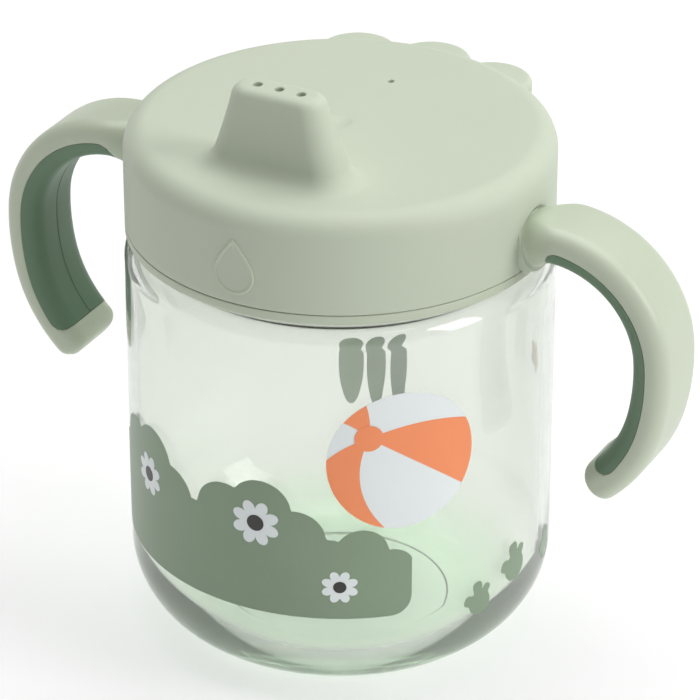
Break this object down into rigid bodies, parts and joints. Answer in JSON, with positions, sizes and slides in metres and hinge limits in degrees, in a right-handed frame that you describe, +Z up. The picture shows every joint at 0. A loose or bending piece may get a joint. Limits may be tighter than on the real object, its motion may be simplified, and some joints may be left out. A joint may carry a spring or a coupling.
{
  "type": "sippy cup",
  "caption": "Toddler's drinking cup: clear tumbler, screw-on ring with hooked handles and soft grips, and a pull-off silicone cover with a drinking spout.",
  "frame": {"origin": "centre of the tumbler's flat base, on its axis", "axes": "+Z up along the tumbler's axis, handles along +X and -X, spout towards -Y, pull tabs towards +Y"},
  "size_m": [0.1398, 0.0845, 0.1189],
  "materials": {
    "clear_green_plastic": "glossy clear plastic with a pale green tint and printed pictures",
    "white_silicone": "matte translucent silicone",
    "sage_plastic": "satin moulded plastic, sage green",
    "dark_green_grip": "soft-touch rubber, dark green",
    "sage_silicone": "matte silicone, sage green"
  },
  "bodies": {
    "cup": {"cup_body": "clear_green_plastic"},
    "seal": {"neck_seal": "white_silicone"},
    "ring": {"handle_ring": "sage_plastic", "right_grip": "dark_green_grip", "left_grip": "dark_green_grip"},
    "cover": {"lid_cover": "sage_silicone"}
  },
  "joints": [
    {"name": "lid_rise", "type": "slide", "parent": "cup", "child": "seal", "axis": [0, 0, 1], "range_m": [0, 0.0094]},
    {"name": "lid_twist", "type": "hinge", "parent": "seal", "child": "ring", "pos_m": [0, 0, 0.09], "axis": [0, 0, 1], "range_deg": [0, 420]},
    {"name": "cover_lift", "type": "slide", "parent": "ring", "child": "cover", "axis": [0, 0, 1], "range_m": [0, 0.025]}
  ],
  "couplings": [
    {"joint": "lid_rise", "follows": "lid_twist", "m_per_rad": 0.0012732}
  ]
}
